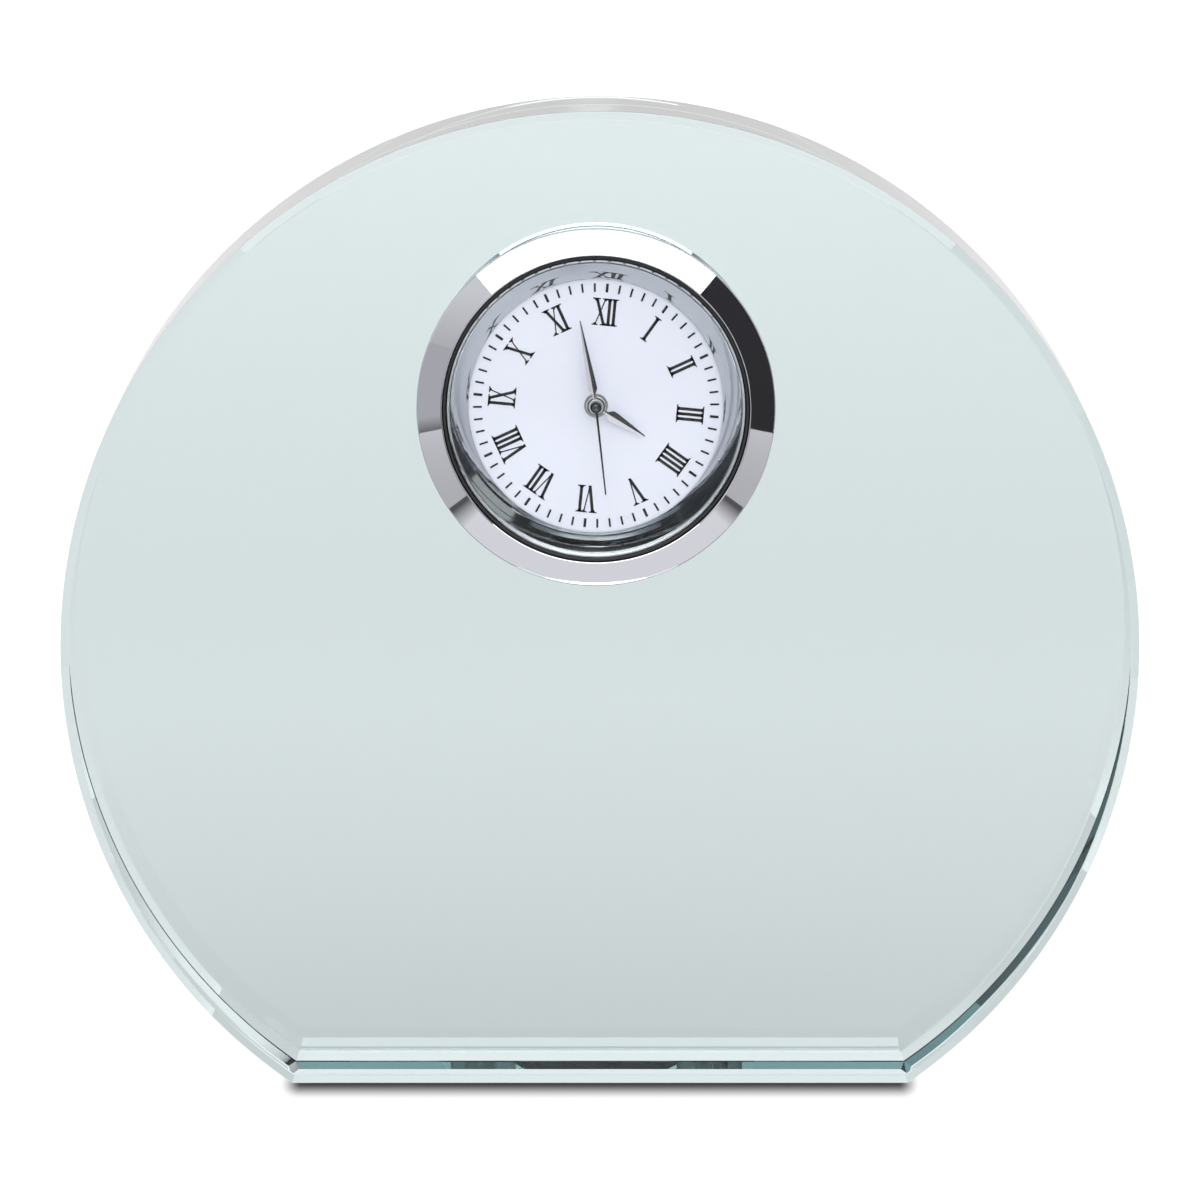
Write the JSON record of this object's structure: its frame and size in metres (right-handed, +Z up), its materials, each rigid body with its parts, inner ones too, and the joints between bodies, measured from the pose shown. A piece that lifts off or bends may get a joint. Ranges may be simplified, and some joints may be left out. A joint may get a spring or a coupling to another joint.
{
  "type": "desk clock",
  "caption": "Clear glass disc desk clock on a flat foot, with a round quartz insert in a chrome bezel set into its bore.",
  "frame": {"origin": "middle of the base face, half way between the front and back glass faces", "axes": "+Z up, the dial faces -Y, +X to the right as seen from the front"},
  "size_m": [0.11, 0.0226, 0.1],
  "materials": {
    "crystal": "polished, faint green tint",
    "bezel_chrome": "mirror polished",
    "lens_glass": "polished, clear",
    "black_rubber": "matt",
    "mirror_ring": "mirror polished",
    "white_dial": "satin white with black print",
    "hand_steel": "polished facets",
    "black_plastic": "fine matt",
    "clear_rubber": "translucent matt",
    "ivory_plastic": "moulded",
    "screw_steel": "turned",
    "green_board": "solder mask",
    "black_resin": "cast",
    "can_steel": "drawn",
    "black_nylon": "moulded",
    "copper_wire": "enamelled winding",
    "motor_iron": "stamped",
    "magnet": "sintered",
    "wheel_plastic": "moulded",
    "wheel_brass": "turned and cut",
    "cell_steel": "plated",
    "contact_bronze": "sprung sheet"
  },
  "bodies": {
    "glass": {"glass_body": "crystal"},
    "insert": {"bezel": "bezel_chrome", "lens": "lens_glass", "lens_gasket": "black_rubber", "reflector_ring": "mirror_ring", "dial": "white_dial", "case_body": "black_plastic", "grip_ring": "clear_rubber", "movement_ring": "ivory_plastic", "main_plate": "ivory_plastic", "train_bridge": "ivory_plastic", "movement_screw_1": "screw_steel", "movement_screw_2": "screw_steel", "movement_screw_3": "screw_steel", "circuit_board": "green_board", "chip_cap": "black_resin", "quartz_can": "can_steel", "coil_bobbin": "black_nylon", "coil_winding": "copper_wire", "coil_core": "motor_iron", "stator": "motor_iron", "positive_contact": "contact_bronze", "negative_contact": "contact_bronze"},
    "seconds": {"seconds_wheel": "wheel_brass", "second_hand": "hand_steel"},
    "intermediate": {"intermediate_wheel": "wheel_plastic"},
    "rotor": {"rotor_pinion": "wheel_plastic", "rotor_magnet": "magnet"},
    "third": {"third_wheel": "wheel_plastic"},
    "centre": {"centre_wheel": "wheel_brass"},
    "minutes": {"cannon_pinion": "wheel_brass", "minute_hand": "hand_steel"},
    "minute_gear": {"minute_wheel": "wheel_plastic"},
    "hours": {"hour_wheel": "wheel_plastic", "hour_hand": "hand_steel"},
    "setting": {"setting_stem": "wheel_plastic", "setting_knob": "black_plastic"},
    "cover": {"back_cover": "black_plastic"},
    "cell": {"battery": "cell_steel"}
  },
  "joints": [
    {"name": "insert_slide", "type": "slide", "parent": "glass", "child": "insert", "axis": [0, -1, 0], "range_m": [0, 0.015]},
    {"name": "back_cover_slide", "type": "slide", "parent": "insert", "child": "cover", "axis": [0, 1, 0], "range_m": [0, 0.015]},
    {"name": "battery_slide", "type": "slide", "parent": "insert", "child": "cell", "axis": [0, 1, 0], "range_m": [0, 0.009]},
    {"name": "seconds_turn", "type": "hinge", "parent": "insert", "child": "seconds", "pos_m": [-0.0004, -0.01, 0.07], "axis": [0, 1, 0], "continuous": true},
    {"name": "intermediate_turn", "type": "hinge", "parent": "insert", "child": "intermediate", "pos_m": [-0.00575, -0.01, 0.07098], "axis": [0, 1, 0], "continuous": true},
    {"name": "rotor_turn", "type": "hinge", "parent": "insert", "child": "rotor", "pos_m": [-0.00701, -0.01, 0.06833], "axis": [0, 1, 0], "continuous": true},
    {"name": "third_turn", "type": "hinge", "parent": "insert", "child": "third", "pos_m": [0.00273, -0.01, 0.0744], "axis": [0, 1, 0], "continuous": true},
    {"name": "centre_turn", "type": "hinge", "parent": "insert", "child": "centre", "pos_m": [-0.0004, -0.01, 0.07], "axis": [0, 1, 0], "continuous": true},
    {"name": "minutes_turn", "type": "hinge", "parent": "insert", "child": "minutes", "pos_m": [-0.0004, -0.01, 0.07], "axis": [0, 1, 0], "continuous": true},
    {"name": "minute_wheel_turn", "type": "hinge", "parent": "insert", "child": "minute_gear", "pos_m": [0.0011, -0.01, 0.06673], "axis": [0, 1, 0], "continuous": true},
    {"name": "hours_turn", "type": "hinge", "parent": "insert", "child": "hours", "pos_m": [-0.0004, -0.01, 0.07], "axis": [0, 1, 0], "continuous": true},
    {"name": "setting_turn", "type": "hinge", "parent": "insert", "child": "setting", "pos_m": [0.00167, -0.01, 0.06335], "axis": [0, 1, 0], "continuous": true}
  ],
  "couplings": [
    {"joint": "intermediate_turn", "follows": "seconds_turn", "ratio": -5},
    {"joint": "rotor_turn", "follows": "seconds_turn", "ratio": 30},
    {"joint": "third_turn", "follows": "seconds_turn", "ratio": -0.13333},
    {"joint": "centre_turn", "follows": "seconds_turn", "ratio": 0.016667},
    {"joint": "minute_wheel_turn", "follows": "minutes_turn", "ratio": -0.33333},
    {"joint": "hours_turn", "follows": "minutes_turn", "ratio": 0.083333},
    {"joint": "setting_turn", "follows": "minutes_turn", "ratio": 1.25},
    {"joint": "battery_slide", "follows": "back_cover_slide", "ratio": 0.6}
  ]
}
